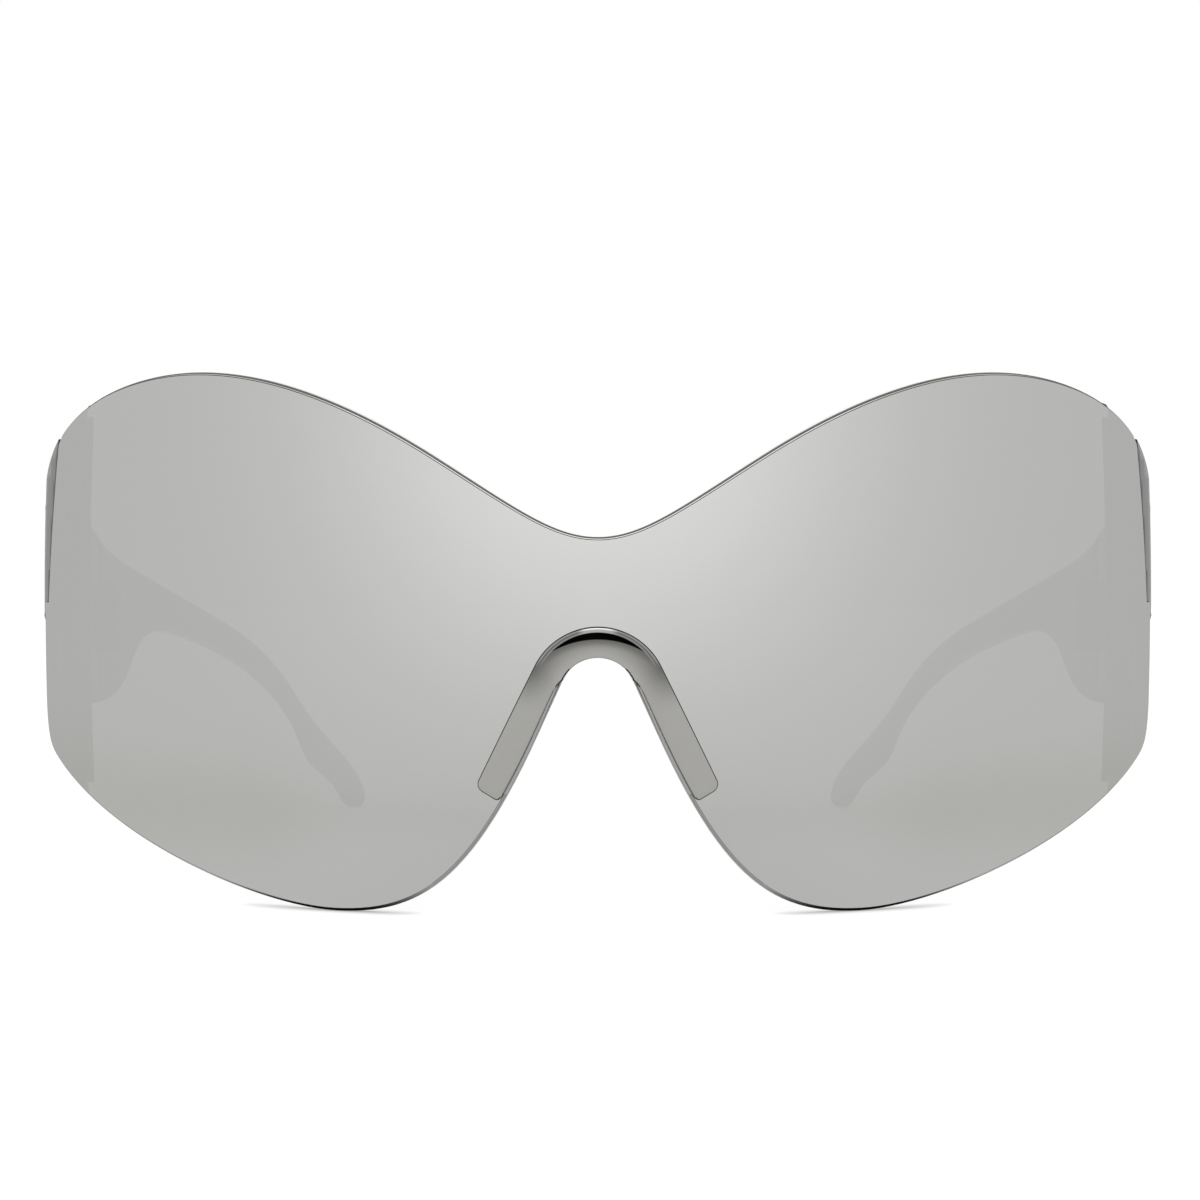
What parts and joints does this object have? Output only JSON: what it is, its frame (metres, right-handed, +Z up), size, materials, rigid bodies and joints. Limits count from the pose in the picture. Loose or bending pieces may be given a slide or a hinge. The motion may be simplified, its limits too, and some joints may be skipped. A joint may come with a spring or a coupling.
{
  "type": "shield sunglasses",
  "caption": "Rimless shield sunglasses: one wrapped mirror lens, nose saddle, moulded end pieces, screwed hinges and two folding temples.",
  "frame": {"origin": "on the table under the middle of the glasses, open, standing on the lens's two lobes and the temple tips", "axes": "+Z up, +Y from the lens back to the temple tips, +X towards the wearer's left"},
  "size_m": [0.1508, 0.1559, 0.0662],
  "materials": {
    "lens": "mirror coated polycarbonate",
    "saddle": "smoked, satin gloss",
    "frame": "black gloss",
    "hinge": "blackened steel",
    "screw": "blackened steel"
  },
  "bodies": {
    "front": {"shield_lens": "lens", "nose_saddle": "saddle", "end_piece_left": "frame", "end_piece_right": "frame", "front_leaf_left": "hinge", "front_leaf_right": "hinge", "front_leaf_screws_left": "screw", "front_leaf_screws_right": "screw", "hinge_screw_left": "screw", "hinge_screw_right": "screw"},
    "left_temple": {"temple_left": "frame", "temple_leaf_left": "hinge", "temple_leaf_screws_left": "screw"},
    "right_temple": {"temple_right": "frame", "temple_leaf_right": "hinge", "temple_leaf_screws_right": "screw"}
  },
  "joints": [
    {"name": "left_temple_hinge", "type": "hinge", "parent": "front", "child": "left_temple", "pos_m": [0.06875, -0.01901, 0.0348], "axis": [0, 0, 1], "range_deg": [0, 80]},
    {"name": "right_temple_hinge", "type": "hinge", "parent": "front", "child": "right_temple", "pos_m": [-0.06875, -0.01901, 0.0348], "axis": [0, 0, -1], "range_deg": [0, 88]}
  ]
}
